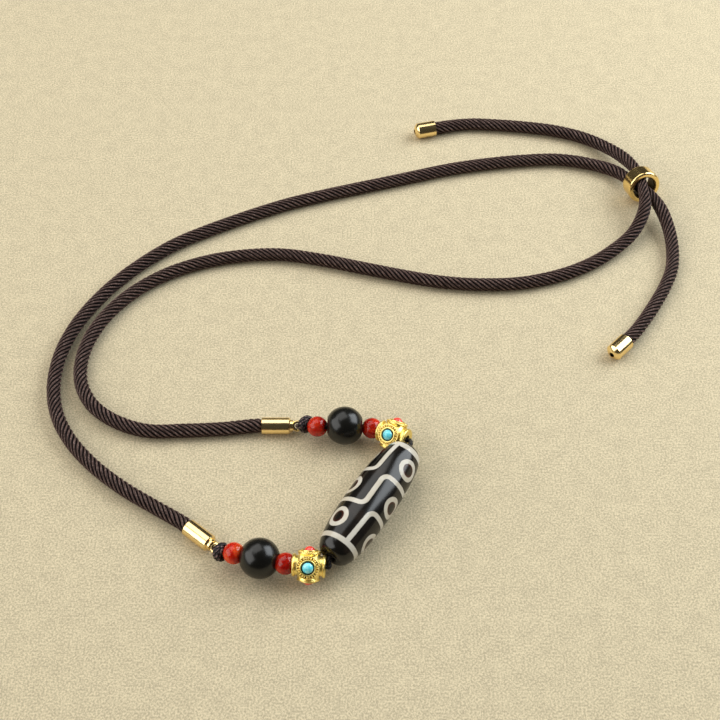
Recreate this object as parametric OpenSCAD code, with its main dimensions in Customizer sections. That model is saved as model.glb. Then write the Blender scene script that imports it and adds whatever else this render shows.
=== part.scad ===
// Dzi bead necklace lying flat: one long patterned agate bead between two short rows of round beads,
// two cords that cross in a sliding ring, and a metal tip on each free end. Millimetres, floor at z = 0.

/* [Dzi bead] */
// Length of the long agate bead
dzi_len = 36.8; // [30:0.2:42]
// Diameter of the long bead at its middle
dzi_d = 12.4; // [10.5:0.1:13.5]
// Diameter of the hole along the long bead
dzi_bore = 2.4; // [2:0.1:3]

/* [Round beads] */
// Diameter of the black beads
black_d = 10; // [9:0.1:11.5]
// Diameter of the red beads
red_d = 5.4; // [4.8:0.1:6.4]
// Diameter of the hole through the round beads
bead_bore = 2.3; // [2:0.05:2.5]
// Diameter of the countersunk mouth of a black bead's hole
black_mouth = 4.2; // [2.8:0.1:4.4]

/* [Gold spacers] */
// Length of a gold spacer over both flanges
spacer_len = 8; // [7:0.1:9.5]
// Diameter of a spacer's body between the stone settings
spacer_d = 7; // [6.4:0.1:7.8]
// Diameter of the flange at each end
flange_d = 5.3; // [4.9:0.1:6]
// Thickness of each flange
flange_t = 0.7; // [0.5:0.05:1]
// Diameter of the groove behind each flange
groove_d = 4.8; // [4.2:0.1:5]
// Diameter of the hole through a spacer
spacer_bore = 2.4; // [2:0.1:2.8]
// Diameter of the flared mouth at the outer end, which a red bead sits in
flare_d = 4.8; // [4:0.1:4.9]
// Diameter of the round collar that holds a stone
bezel_d = 4.1; // [3.5:0.1:4.3]
// Height of a collar over the spacer's body
bezel_h = 0.25; // [0.2:0.05:0.7]
// Diameter of a turquoise or coral stone
stone_d = 2.7; // [2.3:0.1:3]
// Height of a stone's dome over its collar
stone_h = 0.95; // [0.4:0.05:1.1]
// Depth of a stone's seat below the collar's rim
seat_deep = 0.8; // [0.5:0.05:1]

/* [Thread] */
// Thickness of the bead thread
thread_d = 1.3; // [1:0.05:1.5]
// Width across a knot
knot_d = 4.6; // [4:0.1:5.2]
// Thickness of the turn of thread in a knot
knot_wrap = 1.8; // [1.4:0.1:2]

/* [Cord ends] */
// Diameter of the barrel that a cord is glued into
barrel_d = 4.4; // [4.2:0.1:5.2]
// Length of a barrel
barrel_len = 7.4; // [6:0.1:9]
// Diameter of the socket in a barrel
socket_d = 3.2; // [2.8:0.1:3.4]
// Depth of the socket in a barrel
socket_deep = 5; // [4:0.1:5.5]
// Diameter of the step between barrel and eye
step_d = 3.1; // [2.8:0.1:3.6]
// Length of the step
step_len = 0.7; // [0.5:0.05:1]
// Outer diameter of the eye
eye_d = 3; // [2.9:0.05:3.4]
// Thickness of the eye's ring
eye_wire = 0.8; // [0.6:0.05:0.85]
// Diameter of a tip on a free end
tip_d = 4.8; // [4.6:0.1:5.4]
// Length of a tip
tip_len = 6.6; // [6:0.1:8.5]
// Wall of a tip
tip_wall = 0.4; // [0.3:0.05:0.6]
// Diameter of the hole in a tip's end
tip_hole = 1.5; // [0.8:0.1:1.8]

/* [Slider] */
// Outer diameter of the sliding ring
slider_d = 9.9; // [9.4:0.1:11]
// Length of the sliding ring along the cords
slider_len = 5; // [4:0.1:6]
// Diameter of the hole that both cords squeeze through
slider_bore = 6.5; // [6.3:0.1:7.4]
// Rounding of the sliding ring's edges
slider_round = 0.6; // [0.2:0.05:1]
// Lean of the sliding ring, with its front face looking up
slider_lean = 15; // [10:1:20]

/* [Cord] */
// Thickness of the twisted cord
cord_d = 3.8; // [3.6:0.05:3.95]

/* [Clearance] */
// Gap between two beads, or a stone and its seat
bead_gap = 0.1; // [0.06:0.01:0.2]
// Gap between a cord and the metal that it sits in, or the other cord
fit_gap = 0.1; // [0.05:0.01:0.15]

/* [Hidden] */
$fn = 48;

gold = "#d9b04a";
agate = "#15130f";
onyx = "#141414";
carnelian = "#a8200f";
turquoise = "#4fc4c9";
coral = "#e0402c";
braid = "#3a2a2a";

// Where the long bead lies and which way it points, seen from above
dzi_x = 17.5;
dzi_y = -3.8;
dzi_az = 58.3;
// Side of the long bead: a superellipse in shares of half its length and half its width
dzi_flat = 2;
dzi_round = 0.21;
dzi_steps = 12;

// How far the thread sinks below the middle of a black bead, on its way to the barrel on the floor
outer_drop = 0.4;
knot_drop = 1.6;
// Height of the holes along a row, from the outer red bead to the eye
outer_h = black_d/2 - outer_drop;
knot_h = black_d/2 - knot_drop;
eye_h = barrel_d/2;

// Turns of the front row and of the back row: headings of spacer, inner red, black, outer red,
// knot, eye and barrel, then the extra gap and the sideways shift where the row leaves the dzi,
// the slack beside the black bead, the rise of the spacer away from the dzi, and the spacer's
// height over the middle of the black bead
front_plan = [176.5, 170.5, 164.5, 166, 162, 135, 141, -0.05, 0, -0.12, 0, 0.5];
back_plan = [150, 163, 178.5, 180, 152, 172, 180, 0.1, 1.9, 0.45, -10, -0.2];

// Direction around the spacer's axis of the first turquoise, from the top; below zero it faces the viewer
front_roll = -38;
back_roll = -40;
// Direction of an eye's hole, from upright
eye_roll = 35;

// How far a thread runs straight out of a hole before it bends
turn_out = 0.9;
// Depth of a flared mouth to its widening, steep enough for a red bead to touch its rim only
countersink = 1.5;
// Fall of a spacer's body from its settings to its grooves, for each millimetre along it
shoulder_fall = 0.3;
// Chamfer round the eye's end of a barrel
barrel_chamfer = 0.3;
// Thickness of the loop through an eye, as a share of the thread's
loop_share = 0.8;
// Where the thread's points sit in a bead and in a knot's turn, as a share of their size
in_bead = 0.42;
in_knot = 0.4;

// Radii used together
eye_r = (eye_d - eye_wire)/2;
wrap_r = (knot_d - knot_wrap)/2;
squeeze = (slider_bore/2 - 2.5*fit_gap)/cord_d;
neck = (socket_d - 2*fit_gap)/cord_d;
setting_r = spacer_d/2 + bezel_h;

// Routes of the two cords: x, y, lift over the floor, share of the full thickness.
// Each runs from its barrel round the loop, through the ring and on to its tip.
front_route = [
    [-37, -2.5, 0, 1], [-45.5, 3, 0, 1], [-54, 10, 0, 1], [-61, 18, 0, 1],
    [-65.5, 26.5, 0, 1], [-67.5, 36, 0, 1], [-67, 46, 0, 1], [-64.5, 55, 0, 1],
    [-60, 64, 0, 1], [-54, 72.5, 0, 1], [-47, 80, 0, 1], [-38.5, 87, 0, 1],
    [-29, 92.5, 0, 1], [-18, 98, 0, 1], [-6.5, 103, 0, 1], [5.5, 107, 0, 1],
    [17.5, 110.5, 0, 1], [29.5, 114, 0, 1], [41.5, 117.5, 0, 1], [53.5, 120, 0, 1],
    [65, 121.5, 0, 1], [76, 122, 0, 1], [86, 120, 0, 1], [93.5, 116, 0.6, 1],
    [98.1, 109.8, 1.5, squeeze], [99.6, 107.6, 1.9, squeeze], [101, 105.6, 2.8, squeeze],
    [104.2, 99, 2.4, 1], [106, 91, 1, 1], [106, 83, 0, 1],
    [104.5, 76, 0, 1], [101, 68.5, 0, 1], [96.5, 61, 0, 1], [92, 54.5, 0, 1]
];
back_route = [
    [-21.5, 21, 0, 1], [-31.5, 20.5, 0, 1], [-41, 20.5, 0, 1], [-49.5, 23.5, 0, 1],
    [-56, 28.5, 0, 1], [-60, 35.5, 0, 1], [-61, 43.5, 0, 1], [-59.5, 52, 0, 1],
    [-55.5, 60.5, 0, 1], [-49, 68.5, 0, 1], [-40.5, 75, 0, 1], [-30.5, 79.5, 0, 1],
    [-19.5, 82, 0, 1], [-8, 82.5, 0, 1], [3.5, 80.5, 0, 1], [15, 77.5, 0, 1],
    [26.5, 74.5, 0, 1], [38, 72, 0, 1], [49.5, 71, 0, 1], [60.5, 71.5, 0, 1],
    [71, 74, 0, 1], [81, 78.5, 0, 1], [89.5, 84.5, 0.4, 1], [95.5, 90.5, 1.4, 1],
    [99.2, 98, 3.9, 1], [99.3, 105.8, 5.3, squeeze], [99.4, 108.4, 4.9, squeeze],
    [99.5, 110.9, 4.1, squeeze], [96.5, 119, 2.8, 1], [91.5, 126.5, 0.9, 1],
    [84.5, 132, 0, 1], [76, 135, 0, 1], [66.5, 136.7, 0, 1], [57, 137.7, 0, 1],
    [48.5, 138, 0, 1]
];
// Middle of the sliding ring and its heading, from its front face to its back face
slider_x = 99.5;
slider_y = 108;
slider_az = 106;
// Headings of the two tips, from the cord outwards
front_tip_az = 226;
back_tip_az = 194;
// Where each tip's mouth lies
front_mouth = [88.2, 49.9];
back_mouth = [38.4, 135.7];
cord_sides = 8;

// A unit vector from a heading seen from above and a rise over the level
function along(az, rise = 0) = [cos(rise)*cos(az), cos(rise)*sin(az), sin(rise)];
function heading(v) = atan2(v.y, v.x);
function rise(v) = asin(v.z/norm(v));

// Next point of a chain: a link of given length from p to height z
function hop(p, az, link, z) =
    let (flat = sqrt(link*link - (z - p.z)*(z - p.z)))
    [p.x + flat*cos(az), p.y + flat*sin(az), z];

// Distance from a black bead to a red one that sits in its mouth, a few degrees off its axis
bead_bend = 2.5;
mouth_deep = sqrt(black_d*black_d - black_mouth*black_mouth)/2;
mouth_reach = mouth_deep*cos(bead_bend) + black_mouth/2*sin(bead_bend);
red_reach = red_d/2 + bead_gap;
bead_link = mouth_reach + sqrt(mouth_reach*mouth_reach - black_d*black_d/4 + red_reach*red_reach);
// Distance from a spacer's face to the red bead in its flare, when the row turns by some degrees
function flare_link(turn) =
    flare_d/2*sin(turn) + sqrt(red_reach*red_reach - pow(flare_d/2*cos(turn), 2));
// Distance from the outer red bead to the knot, and from the knot to the eye
knot_link = sqrt(pow((red_d + knot_wrap)/2, 2) - wrap_r*wrap_r) + bead_gap;
eye_link = 2*eye_r + thread_d/2;

dzi_at = [dzi_x, dzi_y, dzi_d/2];
dzi_dir = along(dzi_az);
function dzi_end(side) = dzi_at + side*dzi_dir*dzi_len/2;

// Direction of a spacer's axis, away from the long bead
function spacer_dir(plan) = along(plan[0], plan[10]);

// Inner face of a spacer, clear of the end of the long bead
function spacer_face(side, plan) =
    let (out = side*dzi_dir, lean = out*spacer_dir(plan),
         reach = flange_d/2*sqrt(1 - lean*lean) + plan[7],
         p = dzi_end(side) + out*reach + plan[8]*along(dzi_az + 90))
    [p.x, p.y, black_d/2 + plan[11] - spacer_dir(plan).z*spacer_len/2];

// All points of a row, from the spacer's inner face to the barrel's mouth
function row(side, plan) =
    let (face = spacer_face(side, plan),
         middle = face + spacer_dir(plan)*spacer_len/2,
         outer = face + spacer_dir(plan)*spacer_len,
         turn = acos(spacer_dir(plan)*along(plan[1])),
         inner_red = hop(outer, plan[1], flare_link(turn), outer.z),
         black = hop(inner_red, plan[2], bead_link + plan[9], black_d/2),
         outer_red = hop(black, plan[3], bead_link + plan[9], outer_h),
         knot = hop(outer_red, plan[4], knot_link, knot_h),
         eye = hop(knot, plan[5], eye_link, eye_h),
         step = eye + along(plan[6])*eye_r,
         mouth = step + along(plan[6])*(step_len + barrel_len))
    [face, middle, outer, inner_red, black, outer_red, knot, eye, step, mouth];
// Places of the points in that list
face_i = 0;
middle_i = 1;
outer_i = 2;
inner_red_i = 3;
black_i = 4;
outer_red_i = 5;
knot_i = 6;
eye_i = 7;
step_i = 8;
mouth_i = 9;

front_row = row(-1, front_plan);
back_row = row(1, back_plan);

// Sweep of a round section along points [x, y, z, radius]
function cut3(p) = [p.x, p.y, p.z];
function unit(v) = v/norm(v);
function tangent(pts, i) =
    unit(cut3(pts[min(i + 1, len(pts) - 1)]) - cut3(pts[max(i - 1, 0)]));
function ring(pts, i, sides) =
    let (t = tangent(pts, i), side = unit(cross(t, [0, 0, 1])), up = cross(side, t))
    [for (k = [0 : sides - 1]) cut3(pts[i]) + pts[i][3]*(cos(360*k/sides)*side + sin(360*k/sides)*up)];

module sweep(pts, sides) {
    rings = len(pts);
    points = [for (i = [0 : rings - 1]) each ring(pts, i, sides)];
    walls = [for (i = [0 : rings - 2]) for (k = [0 : sides - 1])
        [i*sides + k, i*sides + (k + 1)%sides, (i + 1)*sides + (k + 1)%sides, (i + 1)*sides + k]];
    first = [for (k = [sides - 1 : -1 : 0]) k];
    last = [for (k = [0 : sides - 1]) (rings - 1)*sides + k];
    polyhedron(points, concat([first], walls, [last]), convexity = 8);
}

// Stand children, whose axis is z, at p with that axis along a direction
module aim(p, dir) {
    translate(p) rotate([0, 90 - rise(dir), heading(dir)]) children();
}

module bore(d, length) {
    cylinder(d = d, h = length, center = true);
}

module dzi_bead() {
    half = dzi_len/2;
    side = [for (i = [-dzi_steps : dzi_steps])
        let (x = sin(90*i/dzi_steps)) [dzi_d/2*pow(1 - pow(abs(x), dzi_flat), dzi_round), half*x]];
    color(agate) aim(dzi_at, dzi_dir) difference() {
        rotate_extrude() polygon(side);
        bore(dzi_bore, dzi_len + 1);
    }
}

// Direction of a bead's hole: halfway between the thread's ways in and out
function drilled(row, i) = unit(unit(row[i + 1] - row[i]) + unit(row[i] - row[i - 1]));

// Round bead with a straight hole, and a countersunk mouth at each end if that is wider
module round_bead(row, i, d, mouth) {
    deep = mouth*countersink;
    aim(row[i], drilled(row, i)) difference() {
        sphere(d = d);
        bore(bead_bore, d + 1);
        if (mouth > bead_bore)
            for (flip = [0, 180]) rotate([flip, 0, 0]) translate([0, 0, mouth_deep - deep/2])
                cylinder(d1 = 0, d2 = 2*mouth, h = deep);
    }
}

module black_bead(row) {
    color(onyx) round_bead(row, black_i, black_d, black_mouth);
}

module red_bead(row, i) {
    color(carnelian) round_bead(row, i, red_d, 0);
}

// Axis frame of a spacer: z along the row, x up
module spacer_frame(row, plan) {
    aim(row[middle_i], spacer_dir(plan)) rotate([0, 0, 180]) children();
}

// The four settings, turned a quarter each
module settings(roll, which) {
    for (k = which) rotate([0, 0, roll + 90*k]) rotate([0, 90, 0]) children();
}

module spacer(row, plan, roll) {
    half = spacer_len/2;
    shoulder = spacer_d/2 - (spacer_len/2 - bezel_d/2)*shoulder_fall;
    flare = (flare_d - spacer_bore)/2;
    deep = flare*countersink;
    color(gold) spacer_frame(row, plan) difference() {
        union() {
            rotate_extrude() polygon([
                [0, -half], [flange_d/2, -half], [flange_d/2, -half + flange_t],
                [groove_d/2, -half + flange_t], [groove_d/2, -half + 2*flange_t],
                [shoulder, -half + 2*flange_t], [spacer_d/2, -bezel_d/2],
                [spacer_d/2, bezel_d/2], [shoulder, half - 2*flange_t],
                [groove_d/2, half - 2*flange_t], [groove_d/2, half - flange_t],
                [flange_d/2, half - flange_t], [flange_d/2, half], [0, half]
            ]);
            settings(roll, [0 : 3]) cylinder(d = bezel_d, h = setting_r);
        }
        bore(spacer_bore, spacer_len + 1);
        translate([0, 0, half - deep])
            cylinder(d1 = spacer_bore, d2 = flare_d + 2*flare, h = 2*deep);
        settings(roll, [0 : 3]) translate([0, 0, setting_r - seat_deep])
            cylinder(d = stone_d + 2*bead_gap, h = seat_deep + 1);
    }
}

// Domed stone in its seat
module stone(row, plan, roll, k) {
    low = setting_r - seat_deep + bead_gap;
    dome = (stone_d*stone_d/4 + stone_h*stone_h)/(2*stone_h);
    spacer_frame(row, plan) settings(roll, [k]) intersection() {
        translate([0, 0, low]) cylinder(d = stone_d, h = seat_deep + stone_h);
        translate([0, 0, setting_r + stone_h - dome]) sphere(r = dome);
    }
}

// Round turn of thread on the row, and the loop that it makes through the eye
module knot(row) {
    out = row[outer_red_i] - row[knot_i];
    loop = unit(row[eye_i] - row[step_i]);
    hole = cos(eye_roll)*[0, 0, 1] + sin(eye_roll)*[loop.y, -loop.x, 0];
    color(braid) {
        aim(row[knot_i], out) rotate_extrude() difference() {
            translate([wrap_r, 0]) circle(d = knot_wrap);
            translate([0, -knot_wrap]) square([thread_d/2 + 2*fit_gap, 2*knot_wrap]);
        }
        aim(row[eye_i] + loop*eye_r, cross(loop, hole))
            rotate_extrude() translate([eye_r, 0]) circle(d = thread_d*loop_share);
    }
}

// Barrel with a socket for the cord, a step and an eye
module barrel(row) {
    out = row[eye_i] - row[step_i];
    color(gold) {
        aim(row[step_i], -out) difference() {
            rotate_extrude() polygon([
                [0, 0], [step_d/2, 0], [step_d/2, step_len], [barrel_d/2 - barrel_chamfer, step_len],
                [barrel_d/2, step_len + barrel_chamfer], [barrel_d/2, step_len + barrel_len],
                [0, step_len + barrel_len]
            ]);
            translate([0, 0, step_len + barrel_len - socket_deep]) cylinder(d = socket_d, h = socket_deep + 1);
        }
        translate(row[eye_i]) rotate([0, 0, heading(out)]) rotate([eye_roll, 0, 0])
            rotate_extrude() translate([eye_r, 0]) circle(d = eye_wire);
    }
}

// Cord glued into its barrel, along its route and into its tip
module cord(row, route, mouth, tip_az) {
    in = unit(row[eye_i] - row[mouth_i]);
    r = cord_d/2;
    start = row[mouth_i];
    socket = [for (s = [socket_deep - fit_gap, -fit_gap]) concat(start + in*s, [r*neck])];
    shoulder = [for (s = [2*fit_gap, r]) concat(start - in*s, [r])];
    middle = [for (p = route) [p.x, p.y, p.z + r, r*p[3]]];
    end = [for (s = [0, tip_len - tip_wall - tip_d/4]) concat([mouth.x, mouth.y, tip_d/2] + s*along(tip_az), [r])];
    color(braid) sweep(concat(socket, shoulder, middle, end), cord_sides);
}

module slider_ring() {
    inner = slider_bore/2;
    outer = slider_d/2;
    wall = outer - inner;
    flat = slider_len/2 - slider_round;
    height = slider_round + flat*sin(slider_lean) + (outer - slider_round)*cos(slider_lean);
    color(gold) aim([slider_x, slider_y, height], along(slider_az, -slider_lean)) rotate_extrude() {
        translate([inner, -flat]) square([wall, 2*flat]);
        translate([inner + slider_round, -slider_len/2]) square([wall - 2*slider_round, slider_len]);
        for (x = [inner + slider_round, outer - slider_round], y = [-flat, flat])
            translate([x, y]) circle(r = slider_round);
    }
}

// Cup on a free end, closed by a dome with a small hole
module tip(mouth, az) {
    inner = tip_d/2 - tip_wall;
    dome_h = tip_d/4;
    dome_r = (tip_d*tip_d/4 + dome_h*dome_h)/(2*dome_h);
    shoulder = tip_len - dome_h;
    color(gold) aim([mouth.x, mouth.y, tip_d/2], along(az)) difference() {
        union() {
            cylinder(d = tip_d, h = shoulder);
            translate([0, 0, shoulder]) intersection() {
                cylinder(d = tip_d, h = dome_h);
                translate([0, 0, dome_h - dome_r]) sphere(r = dome_r);
            }
        }
        translate([0, 0, -1]) cylinder(r = inner, h = shoulder + 1);
        bore(tip_hole, 4*tip_len);
    }
}

module front_spacer() { spacer(front_row, front_plan, front_roll); }
module back_spacer() { spacer(back_row, back_plan, back_roll); }
module front_turquoise_1() { color(turquoise) stone(front_row, front_plan, front_roll, 0); }
module front_turquoise_2() { color(turquoise) stone(front_row, front_plan, front_roll, 2); }
module front_coral_1() { color(coral) stone(front_row, front_plan, front_roll, 1); }
module front_coral_2() { color(coral) stone(front_row, front_plan, front_roll, 3); }
module back_turquoise_1() { color(turquoise) stone(back_row, back_plan, back_roll, 0); }
module back_turquoise_2() { color(turquoise) stone(back_row, back_plan, back_roll, 2); }
module back_coral_1() { color(coral) stone(back_row, back_plan, back_roll, 1); }
module back_coral_2() { color(coral) stone(back_row, back_plan, back_roll, 3); }
module front_red_inner() { red_bead(front_row, inner_red_i); }
module front_red_outer() { red_bead(front_row, outer_red_i); }
module back_red_inner() { red_bead(back_row, inner_red_i); }
module back_red_outer() { red_bead(back_row, outer_red_i); }
module front_black_bead() { black_bead(front_row); }
module back_black_bead() { black_bead(back_row); }
module front_knot() { knot(front_row); }
module back_knot() { knot(back_row); }
module front_barrel() { barrel(front_row); }
module back_barrel() { barrel(back_row); }
module front_cord() { cord(front_row, front_route, front_mouth, front_tip_az); }
module back_cord() { cord(back_row, back_route, back_mouth, back_tip_az); }
module front_tip() { tip(front_mouth, front_tip_az); }
module back_tip() { tip(back_mouth, back_tip_az); }

// Thread through every bead, from inside one knot to inside the other
module bead_thread() {
    function through(row, i, d) = [for (s = [1, -1]) row[i] + s*drilled(row, i)*d*in_bead];
    function half(side, row, plan) = concat(
        [row[knot_i] + unit(row[outer_red_i] - row[knot_i])*knot_wrap*in_knot],
        through(row, outer_red_i, red_d),
        through(row, black_i, black_d),
        through(row, inner_red_i, red_d),
        [row[outer_i], row[face_i] - spacer_dir(plan)*turn_out, dzi_end(side) + side*dzi_dir*turn_out]
    );
    there = half(-1, front_row, front_plan);
    again = half(1, back_row, back_plan);
    run = concat(there, [for (i = [len(again) - 1 : -1 : 0]) again[i]]);
    color(braid) sweep([for (p = run) concat(p, [thread_d/2])], cord_sides);
}

dzi_bead();
front_spacer();
front_turquoise_1();
front_turquoise_2();
front_coral_1();
front_coral_2();
front_red_inner();
front_black_bead();
front_red_outer();
front_knot();
front_barrel();
back_spacer();
back_turquoise_1();
back_turquoise_2();
back_coral_1();
back_coral_2();
back_red_inner();
back_black_bead();
back_red_outer();
back_knot();
back_barrel();
bead_thread();
front_cord();
back_cord();
slider_ring();
front_tip();
back_tip();
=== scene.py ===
import math
import bmesh
import bpy
import numpy as np
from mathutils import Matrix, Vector, kdtree


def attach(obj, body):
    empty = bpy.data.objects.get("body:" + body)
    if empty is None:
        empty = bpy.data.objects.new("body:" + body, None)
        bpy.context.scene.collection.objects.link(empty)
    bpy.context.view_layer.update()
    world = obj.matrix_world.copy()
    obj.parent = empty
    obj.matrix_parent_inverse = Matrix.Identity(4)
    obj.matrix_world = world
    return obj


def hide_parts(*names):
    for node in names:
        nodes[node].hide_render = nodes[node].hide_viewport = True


# Looks of a dzi bead necklace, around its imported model. Lengths in the tables are millimetres.
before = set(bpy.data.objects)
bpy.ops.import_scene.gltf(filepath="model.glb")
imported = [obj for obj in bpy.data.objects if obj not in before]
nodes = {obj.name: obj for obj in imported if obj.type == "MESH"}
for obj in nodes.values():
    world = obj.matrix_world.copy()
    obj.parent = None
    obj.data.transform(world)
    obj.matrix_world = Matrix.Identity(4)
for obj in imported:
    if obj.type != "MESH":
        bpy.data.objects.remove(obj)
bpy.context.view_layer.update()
mm = 0.001
dice = np.random.default_rng(7)


class Value:  # a socket that Python operators turn into Math nodes
    def __init__(self, paint, socket):
        self.paint = paint
        self.socket = socket

    def __add__(self, other): return self.paint.calc("ADD", self, other)
    def __radd__(self, other): return self.paint.calc("ADD", other, self)
    def __sub__(self, other): return self.paint.calc("SUBTRACT", self, other)
    def __rsub__(self, other): return self.paint.calc("SUBTRACT", other, self)
    def __mul__(self, other): return self.paint.calc("MULTIPLY", self, other)
    def __rmul__(self, other): return self.paint.calc("MULTIPLY", other, self)


class Paint:  # one material and the nodes that it is made from
    def __init__(self, name, **shader):
        self.material = bpy.data.materials.new(name)
        self.material.use_nodes = True
        self.tree = self.material.node_tree
        self.shader = self.tree.nodes["Principled BSDF"]
        self.set(**shader)

    def put(self, socket, value):
        if isinstance(value, Value):
            self.tree.links.new(value.socket, socket)
        elif isinstance(value, tuple) and len(value) == 3 and socket.type == "RGBA":
            socket.default_value = (*value, 1)
        else:
            socket.default_value = value

    def set(self, **inputs):
        for name, value in inputs.items():
            self.put(self.shader.inputs[spaced(name)], value)

    def add(self, kind, settings=None, out=0, **inputs):
        node = self.tree.nodes.new(kind)
        for name, value in (settings or {}).items():
            setattr(node, name, value)
        for name, value in inputs.items():
            key = int(name[2:]) if name.startswith("at") and name[2:].isdigit() else spaced(name)
            self.put(node.inputs[key], value)
        return Value(self, node.outputs[out])

    def calc(self, operation, first, second):
        return self.add("ShaderNodeMath", {"operation": operation}, at0=first, at1=second)

    def mix(self, factor, first, second):
        return self.add("ShaderNodeMix", {"data_type": "RGBA"}, out=2, at0=factor, at6=first, at7=second)

    def step(self, value, low, high):  # 0 below low, 1 above high, soft between them
        return self.add("ShaderNodeMapRange", {"interpolation_type": "SMOOTHSTEP"},
                        at0=value, at1=low, at2=high)

    def noise(self, scale, detail, **more):
        return self.add("ShaderNodeTexNoise", Vector=self.place(), Scale=scale, Detail=detail, **more)

    def place(self):
        return self.add("ShaderNodeTexCoord", out=3)

    def kept(self, name):  # a number kept on each vertex of the mesh
        return self.add("ShaderNodeAttribute", {"attribute_name": name}, out=2)

    def bump(self, height, distance, strength):
        self.set(Normal=self.add("ShaderNodeBump", Height=height, Distance=distance, Strength=strength))


def spaced(name):
    return name.replace("_", " ")


def makePiece(name, points, faces, paint):
    mesh = bpy.data.meshes.new(name)
    mesh.from_pydata([tuple(p) for p in points], [], faces)
    outward = bmesh.new()
    outward.from_mesh(mesh)
    bmesh.ops.recalc_face_normals(outward, faces=outward.faces)
    outward.to_mesh(mesh)
    outward.free()
    mesh.shade_smooth()
    piece = bpy.data.objects.new(name, mesh)
    bpy.context.scene.collection.objects.link(piece)
    mesh.materials.append(paint.material)
    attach(piece, "root")
    return piece


def keepNumbers(piece, name, numbers):
    layer = piece.data.attributes.new(name, "FLOAT", "POINT")
    layer.data.foreach_set("value", np.asarray(numbers, np.float32))


def heading(azimuth, rise=0.0):
    a, r = math.radians(azimuth), math.radians(rise)
    return np.array([math.cos(a) * math.cos(r), math.sin(a) * math.cos(r), math.sin(r)])


def unit(v):
    return v / np.linalg.norm(v)


def smoothLine(points, step, closed=False):
    # an even Catmull-Rom line through points, whose last column may be a share of the thickness
    p = np.asarray(points, float)
    if closed:
        p = np.vstack([p[-1:], p, p[:2]])
    else:
        p = np.vstack([2 * p[0] - p[1], p, 2 * p[-1] - p[-2]])
    dense = []
    for i in range(1, len(p) - 2):
        a, b, c, d = p[i - 1], p[i], p[i + 1], p[i + 2]
        ka, kb, kc = (max(np.linalg.norm((q - r)[:3]), 1e-6) ** 0.5 for q, r in ((b, a), (c, b), (d, c)))
        out = (b - a) / ka - (c - a) / (ka + kb) + (c - b) / kb
        inn = (c - b) / kb - (d - b) / (kb + kc) + (d - c) / kc
        for t in np.linspace(0, 1, 16, endpoint=False):
            dense.append((2 * t**3 - 3 * t**2 + 1) * b + (t**3 - 2 * t**2 + t) * kb * out
                         + (3 * t**2 - 2 * t**3) * c + (t**3 - t**2) * kb * inn)
    dense.append(p[-2])
    dense = np.array(dense)
    run = np.concatenate([[0], np.cumsum(np.linalg.norm(np.diff(dense[:, :3], axis=0), axis=1))])
    count = max(int(round(run[-1] / step)), 4)
    spots = np.linspace(0, run[-1], count + 1)
    return np.stack([np.interp(spots, run, dense[:, k]) for k in range(p.shape[1])], 1), spots


def ropeMesh(line, spots, radius, look):
    # a round section of twisted strands, whose corners follow the strands, so that the ridges stay sharp;
    # the seam between the two plies of a strand wanders across it, and the strand sways up and down
    strands, sides = look["strands"], look["sides"]
    n = strands * sides
    along = np.gradient(line[:, :3], axis=0)
    along /= np.linalg.norm(along, axis=1)[:, None]
    up = np.array([0, 0, 1.0]) if abs(along[0][2]) < 0.9 else np.array([1.0, 0, 0])
    cross = np.arange(sides) / sides * 2 - 1
    bulge = np.tile(np.sqrt(1 - (0.95 * cross) ** 2), strands)
    bulge = (bulge - bulge.min()) / (bulge.max() - bulge.min())
    across = np.tile(cross, strands)
    shift = np.repeat(np.arange(strands) * 0.37, sides)  # no two strands have their seams side by side
    seamWide, swayPace = 0.3, 2.1
    points, ridge = [], []
    side = unit(np.cross(along[0], up))
    for i, t in enumerate(along):
        side = unit(side - t * np.dot(side, t))
        over = np.cross(t, side)
        turn = 2 * math.pi * (np.arange(n) / n + spots[i] / look["lay"])
        seam = (spots[i] / look["ply"] + shift) % 1 * 2 - 1
        high = bulge * (1 - look["split"] * np.clip(1 - np.abs(across - seam) / seamWide, 0, 1))
        high = high * (1 + look["sway"] * np.sin(spots[i] * swayPace + shift * 9))
        reach = radius * line[i, 3] * (1 - look["depth"] * (1 - high))
        points.append(line[i, :3] + (np.cos(turn) * reach)[:, None] * side
                      + (np.sin(turn) * reach)[:, None] * over)
        ridge.append(high)
    faces = []
    for i in range(len(along) - 1):
        for k in range(n):
            m = (k + 1) % n
            faces.append((i * n + k, i * n + m, (i + 1) * n + m, (i + 1) * n + k))
    faces.append(tuple(range(n - 1, -1, -1)))
    faces.append(tuple(range((len(along) - 1) * n, len(along) * n)))
    return np.vstack(points), faces, np.concatenate(ridge)


# the camera stands on the photo's side of the necklace and looks down on it
view = {"place": (14.9, -171.61, 282.69), "down": 52.5, "lens": 64.85}

camera = bpy.data.objects.new("camera", bpy.data.cameras.new("camera"))
bpy.context.scene.collection.objects.link(camera)
camera.location = Vector(view["place"]) * mm
camera.rotation_euler = (math.radians(90 - view["down"]), 0, 0)
camera.data.lens = view["lens"]
camera.data.sensor_width = 36
camera.data.clip_start = 0.01
bpy.context.scene.camera = camera
print("camera is set")

# the two twisted cords, along the same points as in the solid model; lay is the length of one turn of a
# strand round the cord, ply the length in which the seam of its two plies crosses it, and depth, split and
# sway are shares that the grooves, the seams and the sway take off
cordLook = {"width": 3.8, "strands": 9, "sides": 10, "lay": 14.7, "ply": 4.6, "depth": 0.31, "split": 0.42,
            "sway": 0.085, "step": 0.6, "squeezed": 0.789,
            "ridge": (0.1, 0.06, 0.05), "grooveShade": (0.0016, 0.0006, 0.0004), "paintedGlint": (0.27, 0.185, 0.16)}
cordEnds = {"socketDeep": 4.9, "neck": 0.79, "tipHeight": 2.4, "tipDeep": 5.0}

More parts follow.
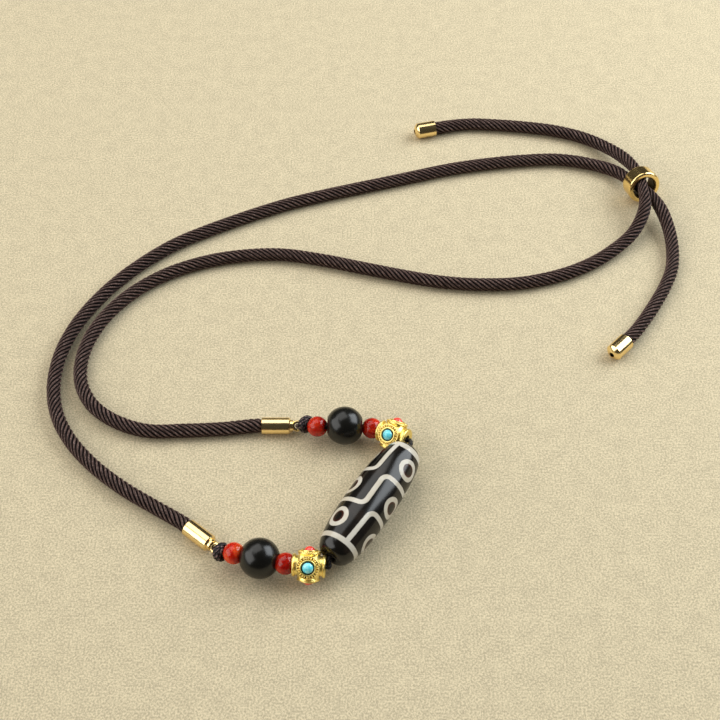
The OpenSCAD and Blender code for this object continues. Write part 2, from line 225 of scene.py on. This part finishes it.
braid = Paint("braidedCord", Roughness=0.65, Specular_IOR_Level=0.12)
ridge = braid.kept("ridge")
# painted highlight: on the strand tops, fibre noise mixes in the paler glint colour as satin highlights
fibre = braid.noise(2600, 2)
# painted shade: low on the kept ridge height, in the grooves between the strands, the cord is painted near
# black
braid.set(Base_Color=braid.mix(braid.step(ridge, 0.51, 1.08), cordLook["grooveShade"],
                               braid.mix(braid.step(fibre, 0.5, 0.72), cordLook["ridge"], cordLook["paintedGlint"])))
braid.bump(fibre + ridge * 0.4, 0.00008, 0.5)

# across, away, lift and share of the width at each point; both cords are squeezed in the ring
squeeze = cordLook["squeezed"]
frontRoute = [
    (-37, -2.5, 0, 1), (-45.5, 3, 0, 1), (-54, 10, 0, 1), (-61, 18, 0, 1), (-65.5, 26.5, 0, 1),
    (-67.5, 36, 0, 1), (-67, 46, 0, 1), (-64.5, 55, 0, 1), (-60, 64, 0, 1), (-54, 72.5, 0, 1),
    (-47, 80, 0, 1), (-38.5, 87, 0, 1), (-29, 92.5, 0, 1), (-18, 98, 0, 1), (-6.5, 103, 0, 1),
    (5.5, 107, 0, 1), (17.5, 110.5, 0, 1), (29.5, 114, 0, 1), (41.5, 117.5, 0, 1), (53.5, 120, 0, 1),
    (65, 121.5, 0, 1), (76, 122, 0, 1), (86, 120, 0, 1), (93.5, 116, 0.6, 1), (98.1, 109.8, 1.5, squeeze),
    (99.6, 107.6, 1.9, squeeze), (101, 105.6, 2.8, squeeze), (104.2, 99, 2.4, 1), (106, 91, 1, 1),
    (106, 83, 0, 1), (104.5, 76, 0, 1), (101, 68.5, 0, 1), (96.5, 61, 0, 1), (92, 54.5, 0, 1)]
backRoute = [
    (-21.5, 21, 0, 1), (-31.5, 20.5, 0, 1), (-41, 20.5, 0, 1), (-49.5, 23.5, 0, 1), (-56, 28.5, 0, 1),
    (-60, 35.5, 0, 1), (-61, 43.5, 0, 1), (-59.5, 52, 0, 1), (-55.5, 60.5, 0, 1), (-49, 68.5, 0, 1),
    (-40.5, 75, 0, 1), (-30.5, 79.5, 0, 1), (-19.5, 82, 0, 1), (-8, 82.5, 0, 1), (3.5, 80.5, 0, 1),
    (15, 77.5, 0, 1), (26.5, 74.5, 0, 1), (38, 72, 0, 1), (49.5, 71, 0, 1), (60.5, 71.5, 0, 1),
    (71, 74, 0, 1), (81, 78.5, 0, 1), (89.5, 84.5, 0.4, 1), (95.5, 90.5, 1.4, 1), (99.2, 98, 3.9, 1),
    (99.3, 105.8, 5.3, squeeze), (99.4, 108.4, 4.9, squeeze), (99.5, 110.9, 4.1, squeeze),
    (96.5, 119, 2.8, 1), (91.5, 126.5, 0.9, 1), (84.5, 132, 0, 1), (76, 135, 0, 1), (66.5, 136.7, 0, 1),
    (57, 137.7, 0, 1), (48.5, 138, 0, 1)]
# points of the two rows of beads, from the long bead outwards
rows = {
    "front": {"face": (6.63, -21.40, 5.50), "middle": (2.64, -21.16, 5.50), "outer": (-1.35, -20.91, 5.50),
              "innerRed": (-3.05, -20.63, 5.50), "black": (-9.35, -18.88, 5.00),
              "outerRed": (-15.71, -17.30, 4.60),
              "knot": (-18.75, -16.31, 3.40), "eye": (-20.58, -14.48, 2.20), "step": (-21.43, -13.79, 2.20),
              "mouth": (-27.73, -8.69, 2.20), "turn": 176.5, "rise": 0, "roll": -38, "side": -1},
    "back": {"face": (27.00, 15.19, 5.49), "middle": (23.59, 17.16, 4.80), "outer": (20.17, 19.13, 4.11),
             "innerRed": (18.00, 19.79, 4.11), "black": (10.93, 19.98, 5.00), "outerRed": (3.81, 19.98, 4.60),
             "knot": (0.99, 21.48, 3.40), "eye": (-1.57, 21.84, 2.20), "step": (-2.67, 21.84, 2.20),
             "mouth": (-10.77, 21.84, 2.20), "turn": 150, "rise": -10, "roll": -40, "side": 1}}
for row in rows.values():
    for key in ("face", "middle", "outer", "innerRed", "black", "outerRed", "knot", "eye", "step", "mouth"):
        row[key] = np.array(row[key])


def cordPiece(name, node, mouth, barrelTurn, route, tipMouth, tipTurn):
    r = cordLook["width"] / 2
    out = heading(barrelTurn)
    # how far out of the barrel's mouth, and the share of the width there
    start = [(-cordEnds["socketDeep"], cordEnds["neck"]), (0.05, cordEnds["neck"]), (0.5, 0.98), (r, 1)]
    points = [(*(mouth + out * far), share) for far, share in start]
    points += [(x, y, lift + r, share) for x, y, lift, share in route]
    end = np.array([*tipMouth, cordEnds["tipHeight"]])
    points += [(*end, 1), (*(end + heading(tipTurn) * cordEnds["tipDeep"]), 1)]
    line, spots = smoothLine(points, cordLook["step"])
    verts, faces, ridgeHeight = ropeMesh(line, spots, r, cordLook)
    piece = makePiece(name, verts * mm, faces, braid)
    keepNumbers(piece, "ridge", ridgeHeight)
    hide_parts(node)
    print(name, "is", round(float(spots[-1]), 1), "mm long")


cordPiece("frontCord", "front_cord", rows["front"]["mouth"], 141, frontRoute, (88.2, 49.9), 226)
cordPiece("backCord", "back_cord", rows["back"]["mouth"], 180, backRoute, (38.4, 135.7), 194)

# the long bead: a smooth drilled barrel with a line and eyes etched on it; line, eyeLine and the second
# number of each ring are half widths
dzi = {"place": (17.5, -3.8, 6.2), "turn": 58.3, "length": 36.8, "width": 12.4, "bore": 2.4, "lip": 0.2,
       "blunt": 0.21, "crest": (0.253, -0.156, 0.955), "rings": ((-14.84, 0.65), (16.26, 0.95)), "line": 0.62,
       "corner": 2.0, "eyeWide": 2.15, "eyeLong": 2.3, "eyeLine": 0.6, "sides": 192, "steps": 211}
# turn round the bead, place between the rings and relative width of each eye; then one third of the line
dziEyes = [(78, 0.15, 1.08), (56, 0.482, 1.08), (34, 0.825, 1.1), (-50, 0.158, 0.97), (-73, 0.482, 1),
           (-98, 0.825, 1), (198, 0.155, 1), (172, 0.482, 1), (148, 0.825, 1)]
dziLine = [(9, 0.0), (14, 0.325), (110, 0.33), (110, 0.655), (202, 0.66), (203, 1.0)]

agate = Paint("agate", Specular_IOR_Level=0.4)
etch = agate.kept("etch")
cloud = agate.noise(240, 4)
speck = agate.noise(1500, 3)
edge = agate.step(etch + (speck - 0.5) * 0.12, -0.09, 0.09)
dark = agate.mix(agate.step(cloud, 0.45, 0.75), (0.006, 0.005, 0.004), (0.016, 0.011, 0.008))
cream = agate.mix(agate.step(cloud, 0.35, 0.7), (0.53, 0.475, 0.38), (0.61, 0.57, 0.49))
brown = agate.mix(agate.kept("eye") * agate.step(etch, -0.75, -0.1), dark, (0.05, 0.012, 0.006))
agate.set(Base_Color=agate.mix(edge, brown, cream), Roughness=0.18 + agate.kept("inside") * 0.6)


def dziReach(s):  # radius of the bead at s from its middle
    x = np.clip(np.abs(s) / (dzi["length"] / 2), 0, 1)
    return dzi["width"] / 2 * (1 - x**2) ** dzi["blunt"]


def dziPoint(turn, s, reach=None):
    axis = heading(dzi["turn"])
    crest = np.array(dzi["crest"])
    crest = unit(crest - axis * np.dot(crest, axis))
    side = np.cross(axis, crest)
    s = np.asarray(s, float)
    r = dziReach(s) if reach is None else np.asarray(reach, float)
    turn = np.radians(turn)
    return (np.array(dzi["place"]) + np.multiply.outer(s, axis)
            + np.multiply.outer(r * np.cos(turn), crest) + np.multiply.outer(r * np.sin(turn), side))


def roundedLine(corners, radius):
    # turns and places on the bead in even small steps, with rounded corners; one degree is 0.1 mm here
    scale = dzi["width"] / 2 * math.pi / 180
    p = [np.array([a * scale, b]) for a, b in corners]
    line = [p[0]]
    for a, b, c in zip(p, p[1:], p[2:]):
        cut = min(radius, np.linalg.norm(b - a) / 2, np.linalg.norm(c - b) / 2)
        first, last = b + unit(a - b) * cut, b + unit(c - b) * cut
        line += [(1 - t) ** 2 * first + 2 * t * (1 - t) * b + t**2 * last for t in np.linspace(0, 1, 12)]
    line.append(p[-1])
    line = np.array(line)
    run = np.concatenate([[0], np.cumsum(np.linalg.norm(np.diff(line, axis=0), axis=1))])
    spots = np.arange(0, run[-1], 0.08)
    return np.interp(spots, run, line[:, 0]) / scale, np.interp(spots, run, line[:, 1])


def dziPiece():
    low, high = dzi["rings"][0][0], dzi["rings"][1][0]
    half = dzi["length"] / 2
    marks, widths = [], []

    def mark(turn, s, width):
        marks.append(dziPoint(turn, s))
        widths.append(np.full(len(marks[-1]), width))

    around = np.arange(0, 360, 0.8)
    for s, width in dzi["rings"]:
        mark(around, np.full(len(around), s), width)
    for third in (0, 120, 240):
        turn, s = roundedLine([(a + third, low + (high - low) * t) for a, t in dziLine], dzi["corner"])
        mark(turn, s, dzi["line"])
    for turn, t, wide in dziEyes:
        a = np.radians(np.arange(0, 360, 2))
        s = low + (high - low) * t + dzi["eyeLong"] * np.sin(a)
        mark(turn + np.degrees(dzi["eyeWide"] * wide * np.cos(a) / dziReach(s)), s, dzi["eyeLine"])
    marks, widths = np.vstack(marks), np.concatenate(widths)
    tree = kdtree.KDTree(len(marks))
    for i, p in enumerate(marks):
        tree.insert(p, i)
    tree.balance()

    n = dzi["sides"]
    turns = np.arange(n) * 360 / n
    x = np.sin(np.radians(np.linspace(-90, 90, dzi["steps"])))
    rings = [(half * v, float(dziReach(half * v))) for v in x]
    bore = dzi["bore"] / 2
    rings = [(s, r) for s, r in rings if r > bore + dzi["lip"] + 0.05]
    tip = rings[-1][0]
    ends = [(tip + 0.06, bore + dzi["lip"]), (tip, bore + 0.04), (tip - 0.3, bore),
            (-tip + 0.3, bore), (-tip, bore + 0.04), (-tip - 0.06, bore + dzi["lip"])]
    rings = rings + ends
    points = np.vstack([dziPoint(turns, np.full(n, s), np.full(n, r)) for s, r in rings])
    faces = []
    for i in range(len(rings)):
        j = (i + 1) % len(rings)
        faces += [(i * n + k, i * n + (k + 1) % n, j * n + (k + 1) % n, j * n + k) for k in range(n)]
    piece = makePiece("dziBead", points * mm, faces, agate)
    # how far each point lies inside a pale line, in millimetres; nothing is etched in the bore
    etched = np.array([max(widths[k] - far for _, k, far in tree.find_n(p, 3)) for p in points])
    etched[-len(ends) * n:] = -2
    reaches = np.repeat([r for s, r in rings], n)
    middles = np.array([dziPoint(turn, low + (high - low) * t) for turn, t, wide in dziEyes])
    keepNumbers(piece, "eye", (np.linalg.norm(points[:, None] - middles, axis=2).min(1) < dzi["eyeWide"]) * 1.0)
    keepNumbers(piece, "etch", np.clip(etched, -2, 2))
    keepNumbers(piece, "inside", np.clip((bore + 0.7 - reaches) / 0.5, 0, 1))
    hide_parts("dzi_bead")
    print("dzi bead has", len(faces), "faces")


dziPiece()

# stone and metal of the carried-over pieces
onyx = Paint("onyx", Specular_IOR_Level=0.4)
onyx.set(Base_Color=onyx.mix(onyx.noise(300, 4), (0.003, 0.003, 0.0025), (0.008, 0.0075, 0.006)),
         Roughness=0.2 + onyx.noise(500, 3) * 0.07)


def redStone(name, deep, clear):
    paint = Paint(name, Roughness=0.11, Specular_IOR_Level=0.34, Subsurface_Weight=0.8,
                  Subsurface_Radius=(0.006, 0.0007, 0.0003), Subsurface_Scale=1.0)
    veil = paint.step(paint.noise(230, 4, Distortion=0.6), 0.42, 0.66)
    paint.set(Base_Color=paint.mix(veil, deep, clear))
    return paint


carnelian = redStone("carnelian", (0.44, 0.013, 0.004), (0.73, 0.086, 0.02))
deepCarnelian = redStone("deepCarnelian", (0.28, 0.005, 0.003), (0.53, 0.034, 0.01))

turquoise = Paint("turquoise", Roughness=0.2, Coat_Weight=0.5)
turquoise.set(Base_Color=turquoise.mix(turquoise.step(turquoise.noise(900, 4), 0.45, 0.65),
                                       (0.13, 0.68, 0.8), (0.32, 0.86, 0.92)))

coral = Paint("coral", Roughness=0.2, Coat_Weight=0.5)
coral.set(Base_Color=coral.mix(coral.noise(700, 3), (0.82, 0.03, 0.02), (0.95, 0.11, 0.07)))

gold = Paint("polishedGold", Metallic=1.0, Base_Color=(0.95, 0.72, 0.34))
gold.set(Roughness=0.13 + gold.noise(900, 3) * 0.09)

# inside its bore the sliding ring is rougher and painted dark as painted shade; the bore is told by the
# distance from the ring's axis
ringLook = {"middle": (99.5, 108, 5.29), "axis": (-0.266, 0.929, -0.259), "bore": 6.5,
            "boreShade": (0.1, 0.06, 0.02), "bright": (0.95, 0.7, 0.29)}
ringGold = Paint("ringGold", Metallic=1.0)
spoke = ringGold.add("ShaderNodeVectorMath", {"operation": "SUBTRACT"}, at0=ringGold.place(),
                     at1=tuple(c * mm for c in ringLook["middle"]))
spoke = ringGold.add("ShaderNodeVectorMath", {"operation": "CROSS_PRODUCT"}, at0=spoke, at1=ringLook["axis"])
spoke = ringGold.add("ShaderNodeVectorMath", {"operation": "LENGTH"}, out=1, at0=spoke)
outside = ringGold.step(spoke, (ringLook["bore"] / 2 + 0.05) * mm, (ringLook["bore"] / 2 + 0.35) * mm)
ringGold.set(Base_Color=ringGold.mix(outside, ringLook["boreShade"], ringLook["bright"]),
             Roughness=0.43 - outside * 0.3 + ringGold.noise(900, 3) * 0.09)

grainGold = Paint("grainedGold", Metallic=1.0)
brightGold = grainGold.mix(grainGold.noise(1200, 3), (1.0, 0.73, 0.2), (1.0, 0.85, 0.33))
# painted shade: where the kept number is 1, the gold is painted dark orange-brown, as shade between the grains
grainShadeMask = grainGold.step(grainGold.kept("grainShade"), 0, 1)
grainGold.set(Base_Color=grainGold.mix(grainShadeMask, brightGold, (0.3, 0.16, 0.03)),
              Roughness=0.26 + grainGold.noise(1500, 3) * 0.18)
grainGold.bump(grainGold.noise(2500, 3), 0.00004, 0.6)

# the thread through the beads and the knot at each of its ends
threadLook = {"width": 1.3, "strands": 3, "sides": 8, "lay": 2.6, "ply": 1, "depth": 0.25, "split": 0,
              "sway": 0, "step": 0.16, "body": (0.006, 0.0035, 0.004), "paintedGlint": (0.25, 0.155, 0.15),
              "wrapReach": 1.72, "wrapWidth": 1.35, "wrapTurns": 2.6, "wrapSteps": 44, "wrapLong": 1.5,
              "wrapOff": 0.3, "eyeReach": 1.1, "eyeWidth": 1.04, "eyeRoll": 35, "eyeSteps": 20,
              "turnOut": 0.9, "inBead": 0.42, "shade": 0.6}
beadWidths = {"outerRed": 5.4, "black": 10.0, "innerRed": 5.4}

thread = Paint("darkThread", Roughness=0.42, Specular_IOR_Level=0.3)
strand = thread.kept("ridge")
# painted highlight: where the ridge height times noise is high, the thread takes the paler glint colour
thread.set(Base_Color=thread.mix(thread.step(strand * thread.noise(1900, 2), 0.42, 0.66),
                                 threadLook["body"], threadLook["paintedGlint"]))
thread.bump(thread.noise(3000, 2) + strand * 0.3, 0.00006, 0.5)


def joinMeshes(parts):
    # points, faces and numbers of several meshes as one
    points, faces, numbers, base = [], [], [], 0
    for p, f, v in parts:
        points.append(np.asarray(p))
        faces += [tuple(base + i for i in face) for face in f]
        numbers.append(np.asarray(v))
        base += len(p)
    return np.vstack(points), faces, np.concatenate(numbers)


def sideways(direction):
    # two unit vectors square to a direction
    other = unit(np.cross(direction, (0, 0, 1.0)))
    return other, np.cross(other, direction)


def threadRope(points, width, closed=False):
    points = np.array([(*q[:3], 1.0) for q in points])
    line, spots = smoothLine(points, threadLook["step"], closed)
    return ropeMesh(line, spots, width / 2, threadLook)


def knotPiece(end):
    row, look = rows[end], threadLook
    out = unit(row["outerRed"] - row["knot"])
    a, b = sideways(out)
    wrap = []
    for t in np.linspace(0, 1, look["wrapSteps"]):  # a coil round the row that starts and ends inside itself
        angle = 2 * math.pi * look["wrapTurns"] * t
        reach = look["wrapReach"] * min(1, 4 * t + 0.35, 4 * (1 - t) + 0.35)
        along = (0.5 - t) * look["wrapLong"] - look["wrapOff"] + 0.16 * math.sin(2.3 * angle)
        wrap.append(row["knot"] + out * along + reach * (math.cos(angle) * a + math.sin(angle) * b))
    loop = unit(row["eye"] - row["step"])
    roll = math.radians(look["eyeRoll"])
    hole = math.cos(roll) * np.array([0, 0, 1.0]) + math.sin(roll) * np.array([loop[1], -loop[0], 0])
    middle = row["eye"] + loop * look["eyeReach"]
    ring = [middle + look["eyeReach"] * (math.cos(t) * loop + math.sin(t) * hole)
            for t in np.linspace(0, 2 * math.pi, look["eyeSteps"], endpoint=False)]
    parts = [threadRope(wrap, look["wrapWidth"]), threadRope(ring, look["eyeWidth"], True)]
    points, faces, ridgeHeight = joinMeshes(parts)
    piece = makePiece(end + "Knot", points * mm, faces, thread)
    keepNumbers(piece, "ridge", ridgeHeight)
    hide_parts(end + "_knot")


def threadPiece():
    look = threadLook
    axis = heading(dzi["turn"])
    halves = []
    for end in ("front", "back"):
        row = rows[end]
        spacerWay = heading(row["turn"], row["rise"])
        stops = [row[key] for key in ("knot", "outerRed", "black", "innerRed", "outer")]
        way = [row["knot"] + unit(row["outerRed"] - row["knot"]) * 0.7]
        for before, bead, after, width in zip(stops, stops[1:], stops[2:], beadWidths.values()):
            bore = unit(unit(before - bead) + unit(bead - after)) * width * look["inBead"]
            way += [bead + bore, bead, bead - bore]
        way += [row["outer"], row["middle"], row["face"], row["face"] - spacerWay * look["turnOut"]]
        tip = np.array(dzi["place"]) + row["side"] * axis * dzi["length"] / 2
        way += [tip + row["side"] * axis * look["turnOut"], tip - row["side"] * axis]
        halves.append(way)
    way = halves[0] + [np.array(dzi["place"])] + halves[1][::-1]
    points, faces, ridgeHeight = threadRope(way, look["width"])
    piece = makePiece("beadThread", points * mm, faces, thread)
    # the bead thread keeps only the shade share of its ridges, so it gets less painted highlight and reads
    # darker: painted shade inside the beads
    keepNumbers(piece, "ridge", ridgeHeight * look["shade"])
    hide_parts("bead_thread")


knotPiece("front")
knotPiece("back")
threadPiece()
print("thread and knots are tied")

# grained collars on the gold spacers, with painted shade between the grains, and near-black seats round the
# stones as painted shade
setting = {"reach": 3.75, "baseWide": 2.78, "baseHigh": 3.38, "rimWide": 1.82, "rimThick": 0.2,
           "grooveIn": 1.28, "grooveOut": 1.66, "grain": 0.25, "grainRing": 2.3, "grains": 24,
           "edgeThick": 0.15, "edgeRing": 2.68, "flangeWide": 2.52, "flangeThick": 0.3, "flangeIn": 0.32,
           "length": 8.0, "sides": 48}

# the seat round each stone is near black: painted shade in the groove between the stone and its rim
seatShade = Paint("darkSeat", Base_Color=(0.02, 0.022, 0.012), Roughness=0.35, Metallic=0.6)


def lathe(origin, axis, profile, sides=40, closed=False):
    # a profile of (distance from the axis, height along it) turned round
    a, b = sideways(axis) if abs(axis[2]) < 0.99 else (np.array([1.0, 0, 0]), np.array([0, 1.0, 0]))
    turn = np.arange(sides) * 2 * math.pi / sides
    points = np.vstack([origin + h * axis + r * (np.cos(turn)[:, None] * a + np.sin(turn)[:, None] * b)
                        for r, h in profile])
    faces = []
    for i in range(len(profile) if closed else len(profile) - 1):
        j = (i + 1) % len(profile)
        faces += [(i * sides + k, i * sides + (k + 1) % sides, j * sides + (k + 1) % sides, j * sides + k)
                  for k in range(sides)]
    return points, faces, np.zeros(len(points))


def hoop(reach, height, thick):  # the round profile of a thin ring
    return [(reach + thick * math.cos(t), height + thick * math.sin(t))
            for t in np.linspace(0, 2 * math.pi, 10, endpoint=False)]


def ballMesh():  # points and faces of a ball of radius 1
    ball = bmesh.new()
    bmesh.ops.create_icosphere(ball, subdivisions=2, radius=1)
    ball.verts.index_update()
    points = np.array([v.co for v in ball.verts])
    faces = [tuple(v.index for v in f.verts) for f in ball.faces]
    ball.free()
    return points, faces


def settingsPiece(end):
    row, look = rows[end], setting
    c, w, h, n = row["middle"], look["baseWide"], look["baseHigh"], look["sides"]
    way = heading(row["turn"], row["rise"])
    side = heading(row["turn"] - 90)
    up = np.cross(side, way)
    ballPoints, ballFaces = ballMesh()
    # distance from the collar's axis and height along it: over the grained face, round its edge and down
    collar = [(1.7, h - 0.1), (1.7, h), (look["grainRing"] - 0.15, h - 0.02),
              (look["grainRing"] + 0.2, h - 0.04), (w - 0.05, h - 0.1), (w, h - 0.3), (w - 0.12, h - 0.42),
              (w - 0.1, h - 0.6), (w - 0.25, h - 0.75), (w - 0.6, h - 1.1)]
    seat = [(look["grooveOut"], look["reach"] - 0.1), (look["grooveOut"] - 0.06, look["reach"] + 0.06),
            (look["grooveIn"] + 0.1, look["reach"] + 0.14), (look["grooveIn"], look["reach"] + 0.02)]
    bright, seats = [], []
    for k in range(4):
        roll = math.radians(row["roll"] + 90 * k)
        axis = unit(math.cos(roll) * up + math.sin(roll) * side)
        bright.append(lathe(c, axis, collar, n))
        # painted shade: these rows of the collar face, under the grains, are painted dark
        bright[-1][2][2 * n:4 * n] = 1  # dark between the grains
        bright.append(lathe(c, axis, hoop(look["rimWide"], look["reach"], look["rimThick"]), n, True))
        bright.append(lathe(c, axis, hoop(look["edgeRing"], h - 0.02, look["edgeThick"]), n, True))
        seats.append(lathe(c, axis, seat))
        a, b = sideways(axis)
        for g in range(look["grains"]):
            t = 2 * math.pi * (g + 0.25 * dice.random()) / look["grains"]
            place = c + axis * (h + 0.03) + look["grainRing"] * (math.cos(t) * a + math.sin(t) * b)
            r = look["grain"] * (0.92 + 0.16 * dice.random())
            bright.append((ballPoints * r + place, ballFaces, np.zeros(len(ballPoints))))
    for s in (-1, 1):
        bright.append(lathe(c + way * s * (look["length"] / 2 - look["flangeIn"]), way,
                            hoop(look["flangeWide"], 0, look["flangeThick"]), n, True))
    points, faces, grainShade = joinMeshes(bright)
    piece = makePiece(end + "Grains", points * mm, faces, grainGold)
    keepNumbers(piece, "grainShade", grainShade)
    points, faces, grainShade = joinMeshes(seats)
    makePiece(end + "Seats", points * mm, faces, seatShade)


settingsPiece("front")
settingsPiece("back")
print("settings are grained")

pairs = {"spacer": grainGold, "turquoise_1": turquoise, "turquoise_2": turquoise, "coral_1": coral,
         "coral_2": coral, "red_inner": deepCarnelian, "black_bead": onyx, "barrel": gold, "tip": gold}
finishes = {end + "_" + name: paint for end in ("front", "back") for name, paint in pairs.items()}
finishes.update(front_red_outer=carnelian, back_red_outer=deepCarnelian, slider_ring=ringGold)
for name, paint in finishes.items():
    for slot in nodes[name].material_slots:
        slot.material = paint.material
print("finishes are on")

# pale sandy floor and soft studio light
room = {"colour": (0.56, 0.474, 0.312), "size": 3000, "aim": (15, 45, 0),
        "glow": (1, 0.96, 0.9, 1), "strength": 0.05}
# place, width, height, power and colour of each panel
panels = {"leftPanel": ((-880, -145, 571), 1260, 870, 10, (1, 0.99, 0.96)),
          "backPanel": ((-262, 495, 900), 960, 915, 6, (1, 0.99, 0.96)),
          "rightWindow": ((580, 300, 440), 700, 560, 7.2, (0.9, 0.96, 1))}

sand = Paint("paleFloor", Roughness=0.9)
grit = sand.noise(2100, 3, Roughness=0.7) * 0.88 + sand.noise(260, 3) * 0.12
sand.set(Base_Color=sand.mix(sand.step(grit, 0.36, 0.64), tuple(c * 0.7 for c in room["colour"]),
                             tuple(c * 1.22 for c in room["colour"])))
half = room["size"] / 2 * mm
floorMesh = bpy.data.meshes.new("floor")
corners = [(-half, -half, 0), (half, -half, 0), (half, half, 0), (-half, half, 0)]
floorMesh.from_pydata(corners, [], [(0, 1, 2, 3)])
floor = bpy.data.objects.new("floor", floorMesh)
bpy.context.scene.collection.objects.link(floor)
floorMesh.materials.append(sand.material)

for name, (place, width, height, power, colour) in panels.items():
    data = bpy.data.lights.new(name, "AREA")
    data.shape = "RECTANGLE"
    data.size, data.size_y = width * mm, height * mm
    data.energy = power
    data.color = colour
    lamp = bpy.data.objects.new(name, data)
    bpy.context.scene.collection.objects.link(lamp)
    lamp.location = Vector(place) * mm
    lamp.rotation_euler = (Vector(room["aim"]) * mm - lamp.location).to_track_quat("-Z", "Y").to_euler()
world = bpy.data.worlds.new("room")
bpy.context.scene.world = world
world.use_nodes = True
background = world.node_tree.nodes["Background"]
background.inputs["Color"].default_value = room["glow"]
background.inputs["Strength"].default_value = room["strength"]
bpy.context.scene.view_settings.view_transform = "Standard"
print("room is lit")
